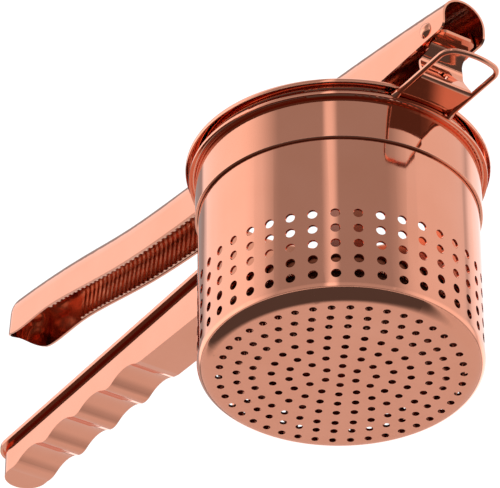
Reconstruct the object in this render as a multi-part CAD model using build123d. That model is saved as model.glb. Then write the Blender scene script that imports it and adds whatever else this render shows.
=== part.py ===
"""Hand potato ricer: perforated basket in a ring frame, two channel handles, hinged plunger.

Frame: origin at the centre of the basket's flat underside, +Z up the basket's axis, +X towards
the hinge, handles towards -X.  Millimetres.  The rest pose is nearly closed: the plunger stands
ten millimetres above the basket's base.
"""
from build123d import *
import os
from math import cos, radians, sin

os.makedirs("parts", exist_ok=True)

# ---- driving dimensions ------------------------------------------------------------------
SHEET = 0.8                    # basket, ring
HANDLE_SHEET = 0.9             # lower handle
UPPER_SHEET = 0.7              # upper handle
STRAP_SHEET = 0.9              # hinge bracket
CLEVIS_SHEET = 1.0             # hinge clevis
BRACKET_SHEET = 1.2            # saddle, lug and press plate
LINK_SHEET = 1.0               # plunger link
RUNNING_FIT = 0.05             # radial clearance of a pin that turns in a hole
GAP = 0.05                     # left between sheets that lie against each other
FAR = 10.0                     # past the outer faces of anything that lies across the handles

BASKET_R = 43.0                # basket wall, outside
BASKET_H = 75.6                # top of the basket's flange
BASE_CORNER_R = 4.4            # outside corner between wall and base
FLANGE_R = 47.0                # outer edge of the rolled flange
FLANGE_ROLL_R = 0.9            # centre-line radius of the flange's rolled edge
FLANGE_ROLL_SWEEP = 120        # how far that edge is rolled, in degrees
FLANGE_BEND_R = 1.3            # bend between wall and flange, on the centre-line
BASE_RINGS = [5.2, 10.4, 15.6, 20.8, 26.5, 31.2, 36.4]   # radii of the base's hole rings
BASE_HOLE_D = 2.3
WALL_HOLE_D = 3.0
WALL_COLUMNS = 40
WALL_ROWS = 5
WALL_ROW_Z = 7.55              # lowest row of wall holes
WALL_ROW_PITCH = 5.33

RING_R = 43.95                 # ring band, outside
RING_Z = 55.8                  # lower edge of the ring band
RING_EDGE_R = 0.4              # rounding of that edge
RING_ROLL_R = 1.0              # centre-line radius of the ring's open bead
RING_ROLL_SWEEP = 200          # how far the bead is rolled, in degrees
RING_TOP = 72.2                # top of the bead, where the bracket's tab lies
RING_ROLL_Z = RING_TOP - SHEET / 2 - RING_ROLL_R
BEAD_R = RING_R + 2 * RING_ROLL_R    # outermost radius of the bead
BEAD_LOW = RING_ROLL_Z - RING_ROLL_R - SHEET / 2

LOWER_R = 7.4                  # half width of the lower handle's channel, outside
LOWER_IN = LOWER_R - HANDLE_SHEET
LOWER_NOSE_X = -189.5          # centre of the lower handle's rounded end
LOWER_ROOT_X = -30.0           # before the ring is cut out of it
LOWER_ROOT_Z = 55.6            # underside at that root
LIP_TOP = 73.2                 # top of the turned-out lips
LIP_R = 9.3                    # half width over the lips
LIP_DROP = 1.8                 # height of the lip's turned-down edge
GRIP_X = -103.7                # where the finger dimples begin
GRIP_Z = 58.9
GRIP_PITCH = 20.3
GRIP_RISE = 0.5                # each ridge is this much higher than the last
DIMPLE_HALF = 7.2              # half length of a dimple's arc
DIMPLE_DEPTH = 2.4             # from ridge to the bottom of a dimple
DIMPLES = 4
LAST_RISE = 0.2                # from the last ridge to the flat end

SADDLE_Z = (59.2, 69.0)        # lower and upper edges
SADDLE_X = (-62.0, -40.0)      # ends of its flanges
SADDLE_OUT = LOWER_IN - GAP    # outer face of its flanges
SADDLE_IN = SADDLE_OUT - BRACKET_SHEET
SADDLE_RIVET_R = 1.5
SADDLE_RIVETS = [(-50.5, 64.5), (-58.0, 64.5)]
SADDLE_OUTER_HEAD = (2.7, 1.2)     # radius and height of a rivet's head
SADDLE_INNER_HEAD = (2.2, 0.8)

HINGE = (58.3, 88.1)           # hinge axis, x and z
HINGE_PIN_R = 1.6
HINGE_HEAD = (2.6, 1.5)
HINGE_BUSH_R = 2.3
HINGE_WASHER_R = 2.6
HANDLE_DOWN = -8.5             # upper handle's travel from rest, in degrees
HANDLE_UP = 69.0
UPPER_R = 7.7                  # half width of the upper handle's channel, outside
UPPER_IN = UPPER_R - UPPER_SHEET
UPPER_END_X = 67.2             # open end past the hinge
UPPER_END_CORNER = 2.5
CROWN_LINE = [(74.0, 87.6), (9.3, 97.8), (-81.0, 108.8), (-118.7, 114.0), (-150.5, 120.6),
              (-180.0, 125.5), (-189.5, 126.7)]          # centre of the round crown
SKIRT_LINE = [(36.0, 84.2), (-20.0, 92.0), (-76.7, 98.9), (-99.0, 101.7), (-122.0, 105.6),
              (-153.7, 112.9), (-170.0, 115.7), (-186.5, 116.9)]   # free edge of the walls
NOSE_EDGE = [(-191.8, 118.2), (-196.2, 120.6), (-198.6, 126.0)]    # and of the rounded end
LEG = 24.0                     # length of the channel's walls before their edges are trimmed
ABOVE_ALL = 160.0              # a height over the whole tool

LINER_X = (-166.5, -62.0)      # ribbed liner inside the upper handle
LINER_R = UPPER_IN - GAP
LINER_SHEET = 0.5
LINER_LIFT = 0.25              # its edges lie this much above the handle's
RIB_HEIGHT = 0.55
RIB_WIDTH = 1.3
RIB_PITCH = 2.9

STRAP_LINE = [(43.3, 72.8), (57.7, 71.5), (54.8, 77.6), (55.1, 80.6), (59.0, 84.2), (61.3, 84.2)]
STRAP_BENDS = [0.7, 5.0, 4.0, 3.0]  # bend radii on the centre-line of tab, strap and shelf
STRAP_HALF_W = [(8.8, 73.0), (8.1, 75.0), (7.7, 77.5), (7.6, 79.6), (6.9, 81.0), (6.4, 82.4)]
STRAP_HOLE = (0, 75.9)         # small hole in the strap, y and z
STRAP_HOLE_D = 3.4
SHELF_CORNER = 0.9             # rounding of the shelf's free corners
EAR_OUT = 6.4                  # outer face of the clevis ears
EAR_IN = EAR_OUT - CLEVIS_SHEET
EAR_R = 4.2                    # round top of an ear
EAR_FOOT_X = (56.4, 63.0)
CLEVIS_X = (55.6, 64.6)        # ends of the clevis base
CLEVIS_CORNER = 2.2
CLEVIS_Z = STRAP_LINE[-1][1] + STRAP_SHEET / 2 + GAP

WIRE_R = 0.85
WIRE_Y = 9.7                   # centre-line of the wire loop's legs
WIRE_Z = 71.9
WIRE_LINE = [(43.0, -WIRE_Y), (71.2, -WIRE_Y), (73.7, 0), (71.2, WIRE_Y), (43.0, WIRE_Y)]
WIRE_BENDS = [4.5, 23.0, 4.5]
WELD_R = 1.6
WELD_LENGTH = 3.0
WELD_ROOT = 1.0                # how far the weld's wide end is sunk behind the bead's edge

LINK_PIN = (3.0, 94.6)         # link's upper pin at rest, x and z
LINK_PIN_R = 2.0
LINK_HEAD = (3.4, 1.7)
LINK_LENGTH = 76.1             # between the link's two pins
LOWER_PIN = (LINK_PIN[0], LINK_PIN[1] - LINK_LENGTH)
LINK_TILT_RATIO = 0.60         # link's tilt per unit of handle angle
PLATE_LIFT = 56.0              # plunger's rise in mm per radian of handle angle
LINK_HALF_W = 4.5              # half width of the link's channel
LINK_EDGE_R = 3.6              # round ends of the link's flanges
LINK_WEB_CUT = 6.0             # the web stops this far short of each pin
SPACER_R = 3.3

PLATE_Z = 10.0                 # underside of the press plate at rest
PLATE_R = 41.7
PLATE_RIM_H = 6.0
PLATE_CORNER_R = 3.4
PLATE_RIDGE = [(24.0, 0.0), (26.0, 1.6), (31.0, 1.6), (33.0, 0.0)]   # radius and rise
PLATE_RIDGE_BEND = 1.5
LUG_Z = PLATE_Z + BRACKET_SHEET
LUG_IN = 4.8                   # inner face of the lug's ears, from the middle plane
LUG_OUT = LUG_IN + BRACKET_SHEET
LUG_HALF_L = 17.5
LUG_TOP = 28.0
LUG_TOP_HALF_L = 12.0
LUG_SHOULDER = 8.0             # height of the ears' upright ends
LUG_CORNER = 3.5
LUG_RIVET_R = 1.2
LUG_HEAD = (2.0, 0.9)
LUG_RIVETS = [(x, y) for x in (-11.5, 11.5) for y in (-2.4, 2.4)]
SLOT_CLEARANCE = 0.35          # around the plunger pin, over its whole path in the lug
WASHER = 0.5
WASHER_R = 4.6
WASHER_IN = LUG_OUT + 2 * GAP
PLUNGER_HEAD = (3.2, 1.3)


# ---- helpers -----------------------------------------------------------------------------
def disc(radius, height, z=0.0):
    """Upright cylinder standing on height z."""
    return Pos(0, 0, z) * Cylinder(radius, height, align=(Align.CENTER, Align.CENTER, Align.MIN))


def block(x0, x1, y0, y1, z0, z1):
    """Box between two corners."""
    middle = Pos((x0 + x1) / 2, (y0 + y1) / 2, (z0 + z1) / 2)
    return middle * Box(x1 - x0, y1 - y0, z1 - z0)


def cross_pin(place, radius, y0, y1):
    """Cylinder along Y through an XZ point, between two Y planes."""
    middle = Pos(place[0], (y0 + y1) / 2, place[1]) * Rot(90, 0, 0)
    return middle * Cylinder(radius, abs(y1 - y0))


def cross_tube(place, inner, outer, y0, y1):
    """Tube along Y: washers, bushes and spacers."""
    return cross_pin(place, outer, y0, y1) - cross_pin(place, inner, y0 - 1, y1 + 1)


def cross_holes(places, radius):
    """Drills along Y at several XZ points."""
    return [cross_pin(place, radius, -FAR, FAR) for place in places]


def rivet_head(place, y, side, size):
    """Spherical cap on the plane y, bulging towards side (+1 or -1)."""
    radius, height = size
    ball_r = (radius ** 2 + height ** 2) / (2 * height)
    ball = Pos(place[0], y + side * (height - ball_r), place[1]) * Sphere(ball_r)
    low, high = sorted((y, y + side * height))
    return ball & cross_pin(place, radius + 1, low, high)


def cross_rivet(place, radius, half_length, head):
    """Rivet along Y with a domed head at each end."""
    rivet = cross_pin(place, radius, -half_length, half_length)
    for side in (-1, 1):
        rivet += rivet_head(place, side * half_length, side, head)
    return rivet


def spun_sheet(path, thickness):
    """Sheet of even thickness spun about Z from a centre-line drawn in the XZ plane."""
    return revolve(Plane.XZ * trace(path, line_width=thickness), Axis.Z)


def side_prism(outline, y0, y1):
    """XZ outline given thickness between the planes y0 < y1."""
    return extrude(Plane.XZ.offset(-y1) * outline, amount=y1 - y0)


def channel_plan(half_width, nose_x, root_x, z0, z1):
    """Upright prism with a handle's plan: straight sides and a half-round end."""
    straight = block(nose_x, root_x, -half_width, half_width, z0, z1)
    return straight + Pos(nose_x, 0, 0) * disc(half_width, z1 - z0, z0)


def both_sides(solid):
    """A solid and its mirror image across the middle plane."""
    return [solid, mirror(solid, about=Plane.XZ)]


def save(name, solids):
    """Write one node; a list becomes a group of separate solids."""
    shape = Compound(children=solids) if isinstance(solids, list) else solids
    export_step(shape, f"parts/{name}.step")


# ---- basket and ring ---------------------------------------------------------------------
def make_basket():
    """Deep-drawn cup with a rolled flange, pierced in rings in the base and rows in the wall."""
    half = SHEET / 2
    flange_z = BASKET_H - half
    roll_x = FLANGE_R - FLANGE_ROLL_R - half
    wall = FilletPolyline((0, half), (BASKET_R - half, half), (BASKET_R - half, flange_z),
                          (roll_x, flange_z), radius=[BASE_CORNER_R - half, FLANGE_BEND_R])
    roll = CenterArc((roll_x, flange_z - FLANGE_ROLL_R), FLANGE_ROLL_R, 90, -FLANGE_ROLL_SWEEP)
    cup = spun_sheet(wall + roll, SHEET)
    base_drill = Cylinder(BASE_HOLE_D / 2, 4 * SHEET)
    drills = [base_drill]
    for number, radius in enumerate(BASE_RINGS, start=1):
        drills += [spot * base_drill for spot in PolarLocations(radius, 6 * number, 30)]
    wall_drill = Pos(BASKET_R, 0, 0) * Rot(0, 90, 0) * Cylinder(WALL_HOLE_D / 2, 4 * SHEET)
    for row in range(WALL_ROWS):
        height = WALL_ROW_Z + row * WALL_ROW_PITCH
        drills += [Pos(0, 0, height) * Rot(0, 0, 360 * column / WALL_COLUMNS) * wall_drill
                   for column in range(WALL_COLUMNS)]
    return cup - drills


def make_frame_ring():
    """Band round the basket, its upper edge rolled outwards into an open bead."""
    centre_r = RING_R - SHEET / 2
    band = Line((centre_r, RING_Z), (centre_r, RING_ROLL_Z))
    bead = CenterArc((centre_r + RING_ROLL_R, RING_ROLL_Z), RING_ROLL_R, 180, -RING_ROLL_SWEEP)
    ring = spun_sheet(band + bead, SHEET)
    low_edges = ring.edges().group_by(Axis.Z)[0]
    return fillet(low_edges.sort_by(SortBy.RADIUS)[-1], RING_EDGE_R)


def ring_clearance():
    """Space of the ring with a small gap round it, cut out of what is welded to the ring."""
    below = disc(RING_R + GAP, RING_TOP, 0)
    return below + disc(BEAD_R + GAP, FAR, BEAD_LOW - GAP)


# ---- lower handle ------------------------------------------------------------------------
def grip_line():
    """Underside of the lower handle: a straight run, then dimples joined by rounded ridges."""
    ridge_half = GRIP_PITCH / 2 - DIMPLE_HALF
    ridge_rise = DIMPLE_DEPTH * ridge_half / (GRIP_PITCH / 2)
    x, z = GRIP_X, GRIP_Z
    curve = Line((LOWER_ROOT_X, LOWER_ROOT_Z), (x, z))
    for dimple in range(DIMPLES):
        middle = x - GRIP_PITCH / 2
        start = (middle + DIMPLE_HALF, z + ridge_rise)
        end = (middle - DIMPLE_HALF, z + ridge_rise + GRIP_RISE)
        curve += Line((x, z), start) if dimple == 0 else ThreePointArc(last_end, (x, z), start)
        curve += ThreePointArc(start, (middle, z + DIMPLE_DEPTH + GRIP_RISE / 2), end)
        last_end = end
        x, z = x - GRIP_PITCH, z + GRIP_RISE
    curve += ThreePointArc(last_end, (x, z), (x - ridge_half, z + LAST_RISE))
    curve += Line((x - ridge_half, z + LAST_RISE), (LOWER_NOSE_X - 2 * FAR, z + LAST_RISE))
    return curve


def above_grip(raise_by, top):
    """Side view of everything above the grip line, shifted up by raise_by."""
    line = Pos(0, raise_by) * grip_line()
    low_end, high_end = line @ 0, line @ 1
    sides = Polyline(low_end, (low_end.X, top), (high_end.X, top), high_end)
    return make_face(line + sides)


def make_lower_handle():
    """U channel open at the top, closed round end, lips turned out and down round the rim."""
    outside = channel_plan(LOWER_R, LOWER_NOSE_X, LOWER_ROOT_X, 50, LIP_TOP)
    outside &= side_prism(above_grip(0, LIP_TOP), -FAR, FAR)
    hollow = channel_plan(LOWER_IN, LOWER_NOSE_X, LOWER_ROOT_X + FAR, 50, LIP_TOP + 1)
    hollow &= side_prism(above_grip(HANDLE_SHEET, LIP_TOP + 1), -FAR, FAR)
    lip = channel_plan(LIP_R, LOWER_NOSE_X, LOWER_ROOT_X, LIP_TOP - LIP_DROP, LIP_TOP)
    lip -= channel_plan(LIP_R - HANDLE_SHEET, LOWER_NOSE_X, LOWER_ROOT_X + FAR, 50,
                        LIP_TOP - HANDLE_SHEET)
    rim = lip.faces().sort_by(Axis.Z)[-1].outer_wire().edges()
    lip = fillet([edge for edge in rim if edge.center().X < LOWER_ROOT_X - 1], HANDLE_SHEET * 0.8)
    handle = outside + lip - hollow - ring_clearance()
    return handle - cross_holes(SADDLE_RIVETS, SADDLE_RIVET_R)


def make_handle_saddle():
    """Bracket inside the channel's root: curved face on the band, flanges on the channel."""
    low, high = SADDLE_Z
    inside = disc(RING_R + GAP, 2 * high)
    shell = disc(RING_R + GAP + BRACKET_SHEET, high - low, low) - inside
    saddle = shell & block(SADDLE_X[0], LOWER_ROOT_X, -SADDLE_OUT, SADDLE_OUT, low, high)
    flange = block(*SADDLE_X, SADDLE_IN, SADDLE_OUT, low, high)
    for part in both_sides(flange - inside):
        saddle += part
    return saddle - cross_holes(SADDLE_RIVETS, SADDLE_RIVET_R)


def make_saddle_rivets():
    """Four short rivets, two through each wall of the lower handle's root."""
    rivets = []
    for place in SADDLE_RIVETS:
        rivet = cross_pin(place, SADDLE_RIVET_R, SADDLE_IN, LOWER_R)
        rivet += rivet_head(place, LOWER_R, 1, SADDLE_OUTER_HEAD)
        rivet += rivet_head(place, SADDLE_IN, -1, SADDLE_INNER_HEAD)
        rivets += both_sides(rivet)
    return rivets


# ---- hinge bracket and its fasteners -----------------------------------------------------
def strap_front():
    """The bracket seen along X: waisted strap, wide at the tab, narrow at the shelf."""
    edge = Spline(*STRAP_HALF_W, tangents=((-0.6, 1), (-0.05, 1)))
    foot, top = STRAP_HALF_W[0], STRAP_HALF_W[-1]
    ends = Polyline(top, (top[0], ABOVE_ALL), (0, ABOVE_ALL), (0, 0), (foot[0], 0), foot)
    half = make_face(edge + ends)
    return half + mirror(half, about=Plane.YZ)


def make_hinge_bracket():
    """Stamping on the ring: tab on the bead, upright strap and the shelf under the hinge."""
    strap_line = FilletPolyline(*STRAP_LINE, radius=STRAP_BENDS)
    strap = side_prism(trace(strap_line, line_width=STRAP_SHEET), -FAR, FAR)
    strap &= extrude(Plane.YZ.offset(STRAP_LINE[0][0] - FAR) * strap_front(), amount=4 * FAR)
    strap -= disc(BASKET_R + 4 * GAP, ABOVE_ALL)
    strap = fillet(strap.edges().filter_by(Axis.Z).group_by(Axis.X)[-1], SHELF_CORNER)
    hole = Pos(STRAP_LINE[0][0], *STRAP_HOLE) * Rot(0, 90, 0) * Cylinder(STRAP_HOLE_D / 2, 4 * FAR)
    return strap - hole


def make_hinge_clevis():
    """U plate welded on the shelf; its two ears carry the hinge pin."""
    clevis = block(*CLEVIS_X, -EAR_OUT, EAR_OUT, CLEVIS_Z, CLEVIS_Z + CLEVIS_SHEET)
    clevis = fillet(clevis.edges().filter_by(Axis.Z), CLEVIS_CORNER)
    foot_z = CLEVIS_Z + CLEVIS_SHEET / 2
    foot = Polyline((EAR_FOOT_X[0], foot_z), (EAR_FOOT_X[1], foot_z),
                    (EAR_FOOT_X[1], foot_z + 1), (EAR_FOOT_X[0], foot_z + 1), close=True)
    outline = make_hull((Pos(*HINGE) * Circle(EAR_R)).edges() + foot.edges())
    ear = side_prism(outline, EAR_IN, EAR_OUT)
    for part in both_sides(ear):
        clevis += part
    clevis &= block(0, ABOVE_ALL, -FAR, FAR, CLEVIS_Z, ABOVE_ALL)
    return clevis - cross_holes([HINGE], HINGE_PIN_R + RUNNING_FIT)


def make_hinge_pin():
    return cross_rivet(HINGE, HINGE_PIN_R, UPPER_R, HINGE_HEAD)


def make_hinge_bush():
    """Spacer tube that keeps the ears apart."""
    half_length = EAR_IN - GAP
    return cross_tube(HINGE, HINGE_PIN_R + RUNNING_FIT, HINGE_BUSH_R, -half_length, half_length)


def make_hinge_washers():
    washer = cross_tube(HINGE, HINGE_PIN_R + RUNNING_FIT, HINGE_WASHER_R, EAR_OUT + GAP,
                        UPPER_IN - GAP)
    return both_sides(washer)


def make_wire_loop():
    """Bent wire whose legs run beside the bracket's tab and butt against the ring's bead."""
    path = Pos(0, 0, WIRE_Z) * FilletPolyline(*WIRE_LINE, radius=WIRE_BENDS)
    section = Plane(path @ 0, z_dir=path % 0) * Circle(WIRE_R)
    return sweep(section, path) - disc(BEAD_R + GAP, FAR, WIRE_Z - FAR / 2)


def make_loop_welds():
    """Weld metal where the wire's legs meet the bead."""
    root_x = (BEAD_R ** 2 - WIRE_Y ** 2) ** 0.5
    cone = Cone(WELD_R, WIRE_R + 2 * GAP, WELD_LENGTH)
    weld = Pos(root_x + WELD_LENGTH / 2 - WELD_ROOT, WIRE_Y, WIRE_Z) * Rot(0, 90, 0) * cone
    weld -= Pos(root_x, WIRE_Y, WIRE_Z) * Rot(0, 90, 0) * Cylinder(WIRE_R, 2 * FAR)
    weld -= block(0, root_x + WELD_LENGTH, 0, STRAP_HALF_W[0][0] + 4 * GAP, 0, ABOVE_ALL)
    return both_sides(weld - disc(BEAD_R + GAP, FAR, WIRE_Z - FAR / 2))


# ---- upper handle ------------------------------------------------------------------------
def crown_section(outer_r, inner_r):
    """Inverted U of a sheet, its round crown centred on the path."""
    outer = Circle(outer_r) + Pos(0, -LEG / 2) * Rectangle(2 * outer_r, LEG)
    inner = Circle(inner_r) + Pos(0, -LEG / 2 - 1) * Rectangle(2 * inner_r, LEG + 2)
    return outer - inner


def crown_path():
    return Plane.XZ * Spline(*CROWN_LINE)


def across(path, place, direction):
    """Plane across the handle at one point of its path."""
    return Plane(place, x_dir=(0, -1, 0), z_dir=direction)


def above_skirt(raise_by):
    """Everything above the handle's free edge, shifted up by raise_by."""
    start, last = SKIRT_LINE[0], NOSE_EDGE[-1]
    skirt = Spline(*SKIRT_LINE, tangents=((-1, 0), (-1, 0.15)))
    nose_edge = Spline(SKIRT_LINE[-1], *NOSE_EDGE, tangents=((-1, 0.15), (-0.2, 1)))
    corner = FilletPolyline(start, (UPPER_END_X, start[1]), (UPPER_END_X, ABOVE_ALL),
                            radius=UPPER_END_CORNER)
    rest = Polyline((UPPER_END_X, ABOVE_ALL), (last[0], ABOVE_ALL), last)
    side = Pos(0, raise_by) * make_face(skirt + nose_edge + corner + rest)
    return side_prism(side, -FAR, FAR)


def make_upper_handle():
    """Inverted U channel with a round crown and a closed round nose."""
    crown = crown_path()
    section = crown_section(UPPER_R, UPPER_IN)
    run = sweep(across(crown, crown @ 0, crown % 0) * section, crown)
    half = section & Pos(LEG, 0) * Rectangle(2 * LEG, 4 * LEG)
    end = across(crown, crown @ 1, crown % 1)
    nose = revolve(end * half, Axis(crown @ 1, end.y_dir), -180)
    handle = (run + nose) & above_skirt(0)
    return handle - cross_holes([HINGE], HINGE_PIN_R) - cross_holes([LINK_PIN], LINK_PIN_R)


def make_grip_liner():
    """Thin channel pressed into the handle, with ribs across its inside."""
    crown = crown_path()
    inner_r = LINER_R - LINER_SHEET
    liner = sweep(across(crown, crown @ 0, crown % 0) * crown_section(LINER_R, inner_r), crown)
    liner &= block(*LINER_X, -FAR, FAR, 0, ABOVE_ALL)
    rib_section = crown_section(inner_r + LINER_SHEET / 2, inner_r - RIB_HEIGHT)
    first = CROWN_LINE[0][0] - LINER_X[1] + 2 * RIB_PITCH
    count = int((LINER_X[1] - LINER_X[0]) / RIB_PITCH) - 1
    for number in range(count):
        along = first + number * RIB_PITCH
        place = crown.position_at(along, position_mode=PositionMode.LENGTH)
        direction = crown.tangent_at(along, position_mode=PositionMode.LENGTH)
        liner += extrude(across(crown, place, direction) * rib_section, amount=RIB_WIDTH)
    return liner & above_skirt(LINER_LIFT)


# ---- plunger -----------------------------------------------------------------------------
def pin_in_lug(angle):
    """Where the plunger pin stands in the lug, as an XZ point at rest, at one handle angle."""
    turn = radians(angle)
    arm_x, arm_z = LINK_PIN[0] - HINGE[0], LINK_PIN[1] - HINGE[1]
    top_x = HINGE[0] + arm_x * cos(turn) + arm_z * sin(turn)
    top_z = HINGE[1] - arm_x * sin(turn) + arm_z * cos(turn)
    tilt = LINK_TILT_RATIO * turn
    x = top_x - LINK_LENGTH * sin(tilt)
    z = top_z - LINK_LENGTH * cos(tilt) - PLATE_LIFT * turn
    return x, z


def lug_slot():
    """Long hole in the lug that holds the pin's whole path."""
    steps = 60
    angles = [HANDLE_DOWN + (HANDLE_UP - HANDLE_DOWN) * step / steps for step in range(steps + 1)]
    path = [pin_in_lug(angle) for angle in angles]
    reach = LINK_PIN_R + SLOT_CLEARANCE
    low_x, high_x = min(x for x, z in path) - reach, max(x for x, z in path) + reach
    low_z, high_z = min(z for x, z in path) - reach, max(z for x, z in path) + reach
    slot = RectangleRounded(high_x - low_x, high_z - low_z, reach)
    return Pos((low_x + high_x) / 2, (low_z + high_z) / 2) * slot


def lug_holes():
    """Drills for the lug's rivets."""
    return [Pos(x, y, LUG_Z) * Cylinder(LUG_RIVET_R, 2 * FAR) for x, y in LUG_RIVETS]


def make_press_plate():
    """Dished disc with a turned-up rim and a raised stiffening ring."""
    z = PLATE_Z + BRACKET_SHEET / 2
    rim_r = PLATE_R - BRACKET_SHEET / 2
    ridge = [(radius, z + rise) for radius, rise in PLATE_RIDGE]
    path = FilletPolyline((0, z), *ridge, (rim_r, z), (rim_r, PLATE_Z + PLATE_RIM_H),
                          radius=[PLATE_RIDGE_BEND] * len(ridge) + [PLATE_CORNER_R])
    return spun_sheet(path, BRACKET_SHEET) - lug_holes()


def make_plate_lug():
    """U bracket on the press plate whose ears hold the plunger pin in a long slot."""
    half_side = [(LUG_HALF_L, LUG_Z), (LUG_HALF_L, LUG_Z + LUG_SHOULDER), (LUG_TOP_HALF_L, LUG_TOP)]
    other_half = [(-x, z) for x, z in reversed(half_side)]
    ear = make_face(Polyline(*half_side, *other_half, close=True))
    corners = ear.vertices().group_by(Axis.Y)
    ear = fillet(corners[1] + corners[-1], LUG_CORNER)
    lug = side_prism(ear, -LUG_OUT, LUG_OUT)
    lug -= block(-2 * FAR, 2 * FAR, -LUG_IN, LUG_IN, LUG_Z + BRACKET_SHEET, LUG_TOP + 1)
    lug -= side_prism(lug_slot(), -FAR, FAR)
    return lug - lug_holes()


def make_lug_rivets():
    """Rivets flush with the plate's underside, low domed heads inside the lug."""
    head_z = LUG_Z + BRACKET_SHEET
    head_r, head_h = LUG_HEAD
    ball_r = (head_r ** 2 + head_h ** 2) / (2 * head_h)
    head = Pos(0, 0, head_z + head_h - ball_r) * Sphere(ball_r) & disc(head_r + 1, 2, head_z)
    rivet = disc(LUG_RIVET_R, head_z - PLATE_Z, PLATE_Z) + head
    return [Pos(x, y, 0) * rivet for x, y in LUG_RIVETS]


def make_plunger_link():
    """Channel-section strap between the two pins."""
    x, top = LINK_PIN
    bottom = LOWER_PIN[1]
    side = SlotCenterToCenter(LINK_LENGTH, 2 * LINK_EDGE_R)
    link = side_prism(Pos(x, (top + bottom) / 2) * Rot(0, 0, 90) * side, -LINK_HALF_W, LINK_HALF_W)
    web_x = x + LINK_EDGE_R - LINK_SHEET
    inner = LINK_HALF_W - LINK_SHEET
    link -= block(x - FAR, web_x, -inner, inner, bottom - FAR, top + FAR)
    for low, high in ((bottom - FAR, bottom + LINK_WEB_CUT), (top - LINK_WEB_CUT, top + FAR)):
        link -= block(web_x - LINK_SHEET, web_x + FAR, -inner, inner, low, high)
    link -= cross_holes([LINK_PIN], LINK_PIN_R + RUNNING_FIT)
    return link - cross_holes([LOWER_PIN], LINK_PIN_R)


def make_link_pin():
    return cross_rivet(LINK_PIN, LINK_PIN_R, UPPER_R, LINK_HEAD)


def make_link_spacers():
    """Tubes that keep the link in the middle of the handle's channel."""
    return both_sides(cross_tube(LINK_PIN, LINK_PIN_R + RUNNING_FIT, SPACER_R,
                                 LINK_HALF_W + GAP, UPPER_IN - GAP))


def make_plunger_pin():
    return cross_rivet(LOWER_PIN, LINK_PIN_R, WASHER_IN + WASHER, PLUNGER_HEAD)


def make_plunger_washers():
    """Washers that bridge the lug's slot under the pin's heads."""
    return both_sides(cross_tube(LOWER_PIN, LINK_PIN_R, WASHER_R, WASHER_IN, WASHER_IN + WASHER))


save("basket", make_basket())
save("frame_ring", make_frame_ring())
save("lower_handle", make_lower_handle())
save("handle_saddle", make_handle_saddle())
save("saddle_rivets", make_saddle_rivets())
save("hinge_bracket", make_hinge_bracket())
save("hinge_clevis", make_hinge_clevis())
save("hinge_pin", make_hinge_pin())
save("hinge_bush", make_hinge_bush())
save("hinge_washers", make_hinge_washers())
save("wire_loop", make_wire_loop())
save("loop_welds", make_loop_welds())
save("upper_handle", make_upper_handle())
save("grip_liner", make_grip_liner())
save("press_plate", make_press_plate())
save("plate_lug", make_plate_lug())
save("lug_rivets", make_lug_rivets())
save("plunger_link", make_plunger_link())
save("link_pin", make_link_pin())
save("link_spacers", make_link_spacers())
save("plunger_pin", make_plunger_pin())
save("plunger_washers", make_plunger_washers())
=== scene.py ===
"""Looks, light and camera for the copper-plated potato ricer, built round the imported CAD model."""
import math

import bpy
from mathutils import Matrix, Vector


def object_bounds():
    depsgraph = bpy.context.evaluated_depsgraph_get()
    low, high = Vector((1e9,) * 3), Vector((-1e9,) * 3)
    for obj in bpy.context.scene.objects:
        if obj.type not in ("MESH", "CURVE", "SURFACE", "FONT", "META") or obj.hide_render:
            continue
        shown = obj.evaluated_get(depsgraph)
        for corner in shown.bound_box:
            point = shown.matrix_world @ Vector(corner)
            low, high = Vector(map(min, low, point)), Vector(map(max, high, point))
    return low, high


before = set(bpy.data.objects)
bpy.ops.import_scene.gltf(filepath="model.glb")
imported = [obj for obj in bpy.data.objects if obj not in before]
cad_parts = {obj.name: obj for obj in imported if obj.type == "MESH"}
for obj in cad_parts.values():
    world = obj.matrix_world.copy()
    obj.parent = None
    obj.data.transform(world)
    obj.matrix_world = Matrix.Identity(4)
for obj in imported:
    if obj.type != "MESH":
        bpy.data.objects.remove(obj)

CAD_LOW, CAD_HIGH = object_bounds()
CENTRE = (CAD_LOW + CAD_HIGH) / 2


# ---- node helpers ------------------------------------------------------------------------
def math_node(tree, operation, *values):
    """Math node on numbers and sockets; returns its output."""
    node = tree.nodes.new("ShaderNodeMath")
    node.operation = operation
    for socket, value in zip(node.inputs, values):
        if isinstance(value, (int, float)):
            socket.default_value = value
        else:
            tree.links.new(value, socket)
    return node.outputs[0]


def ramp(tree, factor, stops):
    """Colour ramp through (position, colour) stops; a single number means a grey."""
    node = tree.nodes.new("ShaderNodeValToRGB")
    elements = node.color_ramp.elements
    while len(elements) > 1:
        elements.remove(elements[-1])
    for number, (position, colour) in enumerate(stops):
        element = elements[0] if number == 0 else elements.new(position)
        element.position = position
        rgb = (colour,) * 3 if isinstance(colour, (int, float)) else colour
        element.color = (*rgb, 1.0)
    tree.links.new(factor, node.inputs[0])
    return node.outputs[0]


def split(tree, vector):
    node = tree.nodes.new("ShaderNodeSeparateXYZ")
    tree.links.new(vector, node.inputs[0])
    return node.outputs["X"], node.outputs["Y"], node.outputs["Z"]


def combine(tree, *values):
    node = tree.nodes.new("ShaderNodeCombineXYZ")
    for socket, value in zip(node.inputs, values):
        tree.links.new(value, socket)
    return node.outputs[0]


def noise(tree, vector, scale, detail=2.0):
    node = tree.nodes.new("ShaderNodeTexNoise")
    node.inputs["Scale"].default_value = scale
    node.inputs["Detail"].default_value = detail
    tree.links.new(vector, node.inputs["Vector"])
    return node.outputs[0]


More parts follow.
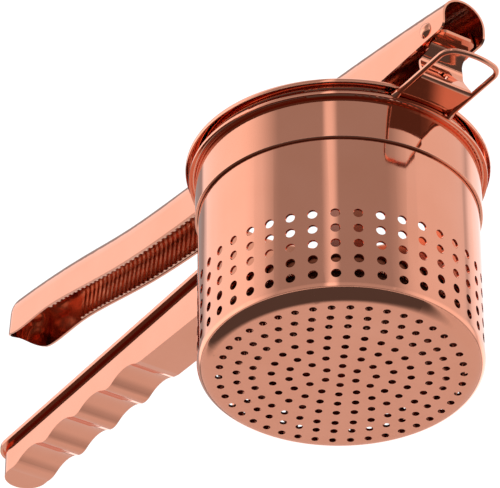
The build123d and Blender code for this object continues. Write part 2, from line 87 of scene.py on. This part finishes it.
def mix_colour(tree, factor, a, b):
    node = tree.nodes.new("ShaderNodeMix")
    node.data_type = "RGBA"
    tree.links.new(factor, node.inputs["Factor"])
    for name, value in (("A", a), ("B", b)):
        socket = [s for s in node.inputs if s.name == name and s.type == "RGBA"][0]
        if isinstance(value, tuple):
            socket.default_value = (*value, 1.0)
        else:
            tree.links.new(value, socket)
    return [s for s in node.outputs if s.type == "RGBA"][0]


# ---- materials ---------------------------------------------------------------------------
# Metres.  Finishing lines are about 0.3 mm apart: round the axis on spun pieces, along the
# length on the handles and pins.  The plating's tone drifts over centimetres.
PLATE_TONES = ((0.93, 0.385, 0.25), (0.96, 0.41, 0.275))
# Darker, redder tones for faces that look inwards and for the handle saddle: painted shade.
SHADED_INSIDE_TONES = ((0.80, 0.31, 0.19), (0.88, 0.36, 0.23))
# Lighter tones for the grip liner inside the upper handle: painted light on its recessed ribs.
LINER_PAINTED_LIGHT_TONES = ((0.92, 0.46, 0.32), (0.97, 0.52, 0.38))
# Dark brown tones for the plunger pieces inside the basket: painted shade, not the plating's own
# colour.
PLUNGER_SHADE_TONES = ((0.20, 0.055, 0.028), (0.30, 0.085, 0.045))
LINE_PITCH = 0.0003
DRAWN_STRETCH = 0.02           # how much the noise is drawn out along the finishing lines
TURNED_STRETCH = 0.05
SPUN_TURN = 6                  # line pitches of noise per radian round the axis
DRIFT_SCALE = 55.0             # noise scales, per metre
RUBBED_SCALE = 160.0
WAVE_SCALE = 45.0
LINE_DEPTH = 0.6e-6
PLUNGER_LINE_DEPTH = 1.5e-6
WAVE_DEPTH = 12e-6
INSIDE_GLOSS_LOSS = 0.10       # extra roughness on faces that look inwards
INSIDE_HALF_W = 0.0068         # half width of a channel's floor, inside its walls


def finishing_lines(tree, place, kind):
    """Coordinates in which a fine noise turns into lines along the finishing direction."""
    x, y, z = place
    if kind == "spun":
        radius = math_node(tree, "SQRT", math_node(tree, "ADD", math_node(tree, "MULTIPLY", x, x),
                                                   math_node(tree, "MULTIPLY", y, y)))
        turn = math_node(tree, "MULTIPLY", math_node(tree, "ARCTAN2", y, x), LINE_PITCH * SPUN_TURN)
        return combine(tree, radius, turn, z)
    if kind == "drawn":
        return combine(tree, math_node(tree, "MULTIPLY", x, DRAWN_STRETCH), y, z)
    return combine(tree, x, math_node(tree, "MULTIPLY", y, TURNED_STRETCH), z)


def facing_inside(tree, place, normal, kind):
    """1 on faces that look into a channel or into the basket, 0 on outer faces; it marks where
    painted shade and extra roughness go.
    """
    x, y, z = place
    normal_x, normal_y, normal_z = normal
    across = math_node(tree, "MULTIPLY", y, normal_y)
    if kind == "basket":
        along = math_node(tree, "ADD", math_node(tree, "MULTIPLY", x, normal_x), across)
        walls = math_node(tree, "LESS_THAN", along, -0.02)
        return math_node(tree, "MAXIMUM", walls, math_node(tree, "GREATER_THAN", normal_z, 0.9))
    walls = math_node(tree, "LESS_THAN", across, -0.0015)
    sign = -1.0 if kind == "inverted channel" else 1.0
    floor_face = math_node(tree, "GREATER_THAN", math_node(tree, "MULTIPLY", normal_z, sign), 0.25)
    middle = math_node(tree, "LESS_THAN", math_node(tree, "ABSOLUTE", y), INSIDE_HALF_W)
    return math_node(tree, "MAXIMUM", walls, math_node(tree, "MULTIPLY", floor_face, middle))


def copper(name, tones, lines, roughness, inside=None, line_depth=LINE_DEPTH):
    """Copper plating: drifting tone, finishing lines, slight waves and rubbed patches; faces that
    look inwards, when asked for, get darker tones as painted shade.
    """
    material = bpy.data.materials.new(name)
    material.use_nodes = True
    tree = material.node_tree
    shader = tree.nodes["Principled BSDF"]
    shader.inputs["Metallic"].default_value = 1.0
    coordinates = tree.nodes.new("ShaderNodeTexCoord")
    place = split(tree, coordinates.outputs["Object"])
    drift = noise(tree, coordinates.outputs["Object"], DRIFT_SCALE, 3.0)
    colour = mix_colour(tree, ramp(tree, drift, [(0.3, 0.0), (0.7, 1.0)]), tones[0], tones[1])
    rubbed = noise(tree, coordinates.outputs["Object"], RUBBED_SCALE, 4.0)
    low, high = roughness
    gloss = ramp(tree, rubbed, [(0.35, low), (0.75, high)])
    if inside is not None:
        normal = split(tree, coordinates.outputs["Normal"])
        # Inward faces get the darker tones as painted shade, and some real extra roughness.
        mask = facing_inside(tree, place, normal, inside)
        painted_shade_colour = mix_colour(tree, drift, SHADED_INSIDE_TONES[0], SHADED_INSIDE_TONES[1])
        colour = mix_colour(tree, mask, colour, painted_shade_colour)
        gloss = math_node(tree, "ADD", gloss, math_node(tree, "MULTIPLY", mask, INSIDE_GLOSS_LOSS))
    tree.links.new(colour, shader.inputs["Base Color"])
    tree.links.new(gloss, shader.inputs["Roughness"])
    fine = noise(tree, finishing_lines(tree, place, lines), 1 / (2 * LINE_PITCH), 2.0)
    waves = noise(tree, coordinates.outputs["Object"], WAVE_SCALE, 1.0)
    height = math_node(tree, "ADD", math_node(tree, "MULTIPLY", fine, line_depth),
                       math_node(tree, "MULTIPLY", waves, WAVE_DEPTH))
    bump = tree.nodes.new("ShaderNodeBump")
    bump.inputs["Strength"].default_value = 1.0
    bump.inputs["Distance"].default_value = 1.0
    tree.links.new(height, bump.inputs["Height"])
    tree.links.new(bump.outputs[0], shader.inputs["Normal"])
    return material


MATERIALS = {
    "spun_copper": copper("spun_copper", PLATE_TONES, "spun", (0.05, 0.085)),
    "basket_copper": copper("basket_copper", PLATE_TONES, "spun", (0.05, 0.085), "basket"),
    "lower_copper": copper("lower_copper", PLATE_TONES, "drawn", (0.05, 0.09), "channel"),
    "upper_copper": copper("upper_copper", PLATE_TONES, "drawn", (0.05, 0.09), "inverted channel"),
    "bracket_copper": copper("bracket_copper", PLATE_TONES, "drawn", (0.07, 0.12)),
    "wire_copper": copper("wire_copper", PLATE_TONES, "drawn", (0.06, 0.11)),
    "pin_copper": copper("pin_copper", PLATE_TONES, "turned", (0.07, 0.13)),
    # The handle saddle uses the darker inside tones: painted shade.
    "shaded_inside_copper": copper("shaded_inside_copper", SHADED_INSIDE_TONES, "drawn", (0.2, 0.32)),
    # Grip liner in the lighter tones: painted light.
    "liner_painted_light_copper": copper("liner_painted_light_copper", LINER_PAINTED_LIGHT_TONES, "drawn", (0.16, 0.26)),
    # Plunger pieces in the dark tones: painted shade.
    "plunger_shaded_copper": copper("plunger_shaded_copper", PLUNGER_SHADE_TONES, "spun", (0.25, 0.38),
                             line_depth=PLUNGER_LINE_DEPTH),
}
PIECE_MATERIAL = {
    "basket": "basket_copper", "frame_ring": "spun_copper", "lower_handle": "lower_copper",
    "upper_handle": "upper_copper", "grip_liner": "liner_painted_light_copper", "handle_saddle": "shaded_inside_copper",
    "hinge_bracket": "bracket_copper", "hinge_clevis": "bracket_copper", "wire_loop": "wire_copper",
    "loop_welds": "wire_copper", "press_plate": "plunger_shaded_copper", "plate_lug": "plunger_shaded_copper",
    "lug_rivets": "plunger_shaded_copper", "plunger_link": "plunger_shaded_copper",
    "plunger_pin": "plunger_shaded_copper", "plunger_washers": "plunger_shaded_copper",
}
for node_name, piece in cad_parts.items():
    piece.data.materials.clear()
    piece.data.materials.append(MATERIALS[PIECE_MATERIAL.get(node_name, "pin_copper")])


# ---- studio ------------------------------------------------------------------------------
# Soft panels stand round the tool.  Each has a brightness and four azimuths in degrees: its
# light starts, is full, starts to fade, and has gone.  Between them is the dim room.
ROOM = 0.36
PANELS = {
    "key": (1.10, (-182, -170, -120, -60)),
    "strip": (0.90, (-50, -42, -40, -30)),
    "side": (0.80, (-15, 35, 80, 105)),
    "fill": (1.10, (75, 105, 153, 160)),
}
# Share of that brightness by sine of the elevation.
LEVELS = [(0.0, 0.2), (0.12, 1.0), (0.35, 1.0), (0.5, 0.75), (1.0, 0.75)]
STRENGTH = 1.35
FLOOR_DROP = 6.0               # metres below the tool, because the camera looks up at it
FLOOR_SIZE = 300
FLOOR_TONE = 0.82
FLOOR_GLOW = 0.66              # how bright the lit floor looks; the surround carries it on
FLAG_SIZE = 16
FLAG_DROP = 0.78
FLAG_TURN = -60                # azimuth that the flag lies towards, in degrees
FLAG_EDGE = (-0.15, -0.75)     # solid to the first, clear from the second, along that azimuth
FLAG_LEVEL = 0.085


def smooth_step(tree, value, start, end):
    """0 at start, 1 at end, with a smooth step between."""
    node = tree.nodes.new("ShaderNodeMapRange")
    node.interpolation_type = "SMOOTHSTEP"
    node.inputs["From Min"].default_value = start
    node.inputs["From Max"].default_value = end
    tree.links.new(value, node.inputs["Value"])
    return node.outputs[0]


def studio_world():
    """Soft surround of the panels and the room, with the floor's tone below the horizon."""
    world = bpy.data.worlds.new("studio")
    bpy.context.scene.world = world
    world.use_nodes = True
    tree = world.node_tree
    coordinates = tree.nodes.new("ShaderNodeTexCoord")
    x, y, z = split(tree, coordinates.outputs["Generated"])
    azimuth = math_node(tree, "MULTIPLY", math_node(tree, "ARCTAN2", y, x), 180 / math.pi)
    level = ROOM
    for brightness, (start, full, fade, gone) in PANELS.values():
        middle = (full + fade) / 2
        turned = math_node(tree, "SUBTRACT", azimuth, middle)
        from_middle = math_node(tree, "WRAP", turned, 180, -180)
        rise = smooth_step(tree, from_middle, start - middle, full - middle)
        fall = smooth_step(tree, from_middle, gone - middle, fade - middle)
        panel = math_node(tree, "MULTIPLY", math_node(tree, "MULTIPLY", rise, fall), brightness)
        level = math_node(tree, "MAXIMUM", panel, level)
    height = ramp(tree, z, LEVELS)
    above = math_node(tree, "MULTIPLY", math_node(tree, "MULTIPLY", level, height), STRENGTH)
    under = math_node(tree, "LESS_THAN", z, 0)
    strength = math_node(tree, "ADD", math_node(tree, "MULTIPLY", under, FLOOR_GLOW),
                         math_node(tree, "MULTIPLY", above, math_node(tree, "SUBTRACT", 1, under)))
    tree.links.new(strength, tree.nodes["Background"].inputs["Strength"])
    tree.nodes["Background"].inputs["Color"].default_value = (1, 1, 1, 1)


def floor():
    bpy.ops.mesh.primitive_plane_add(size=FLOOR_SIZE, location=(0, 0, CAD_LOW.z - FLOOR_DROP))
    plane = bpy.context.object
    plane.name = "floor"
    material = bpy.data.materials.new("floor_paper")
    material.use_nodes = True
    shader = material.node_tree.nodes["Principled BSDF"]
    shader.inputs["Base Color"].default_value = (FLOOR_TONE, FLOOR_TONE, FLOOR_TONE, 1)
    shader.inputs["Roughness"].default_value = 0.9
    plane.data.materials.append(material)


def dark_flag():
    """Dark flag below the tool with one soft edge; it keeps the near floor out of the copper's
    reflections and isn't seen itself."""
    bpy.ops.mesh.primitive_plane_add(size=FLAG_SIZE, location=(0, 0, CAD_LOW.z - FLAG_DROP),
                                     rotation=(0, 0, math.radians(FLAG_TURN)))
    flag = bpy.context.object
    flag.name = "dark_flag"
    material = bpy.data.materials.new("flag_cloth")
    material.use_nodes = True
    tree = material.node_tree
    tree.nodes.remove(tree.nodes["Principled BSDF"])
    x, y, z = split(tree, tree.nodes.new("ShaderNodeTexCoord").outputs["Object"])
    cloth = tree.nodes.new("ShaderNodeEmission")
    cloth.inputs["Strength"].default_value = FLAG_LEVEL
    clear = tree.nodes.new("ShaderNodeBsdfTransparent")
    mix = tree.nodes.new("ShaderNodeMixShader")
    tree.links.new(smooth_step(tree, x, *FLAG_EDGE), mix.inputs[0])
    tree.links.new(cloth.outputs[0], mix.inputs[1])
    tree.links.new(clear.outputs[0], mix.inputs[2])
    tree.links.new(mix.outputs[0], tree.nodes["Material Output"].inputs["Surface"])
    flag.data.materials.append(material)
    flag.visible_camera = False
    flag.visible_diffuse = False
    flag.visible_shadow = False


# ---- camera ------------------------------------------------------------------------------
VIEW_AZIMUTH = 57.0
VIEW_ELEVATION = -34.75
LENS = 272.2
SENSOR = 36
CAMERA_OFFSET = Vector((0.83926, -0.53674, -0.67442))


def camera():
    data = bpy.data.cameras.new("camera")
    data.lens = LENS
    data.sensor_width = SENSOR
    data.clip_start = 0.01
    eye = bpy.data.objects.new("camera", data)
    bpy.context.scene.collection.objects.link(eye)
    azimuth, elevation = math.radians(VIEW_AZIMUTH), math.radians(VIEW_ELEVATION)
    level = math.cos(elevation)
    back = Vector((math.sin(azimuth) * level, -math.cos(azimuth) * level, math.sin(elevation)))
    eye.rotation_mode = "QUATERNION"
    eye.rotation_quaternion = (-back).to_track_quat("-Z", "Y")
    eye.location = CENTRE + CAMERA_OFFSET
    bpy.context.scene.camera = eye


studio_world()
floor()
dark_flag()
camera()
bpy.context.scene.view_settings.view_transform = "Standard"
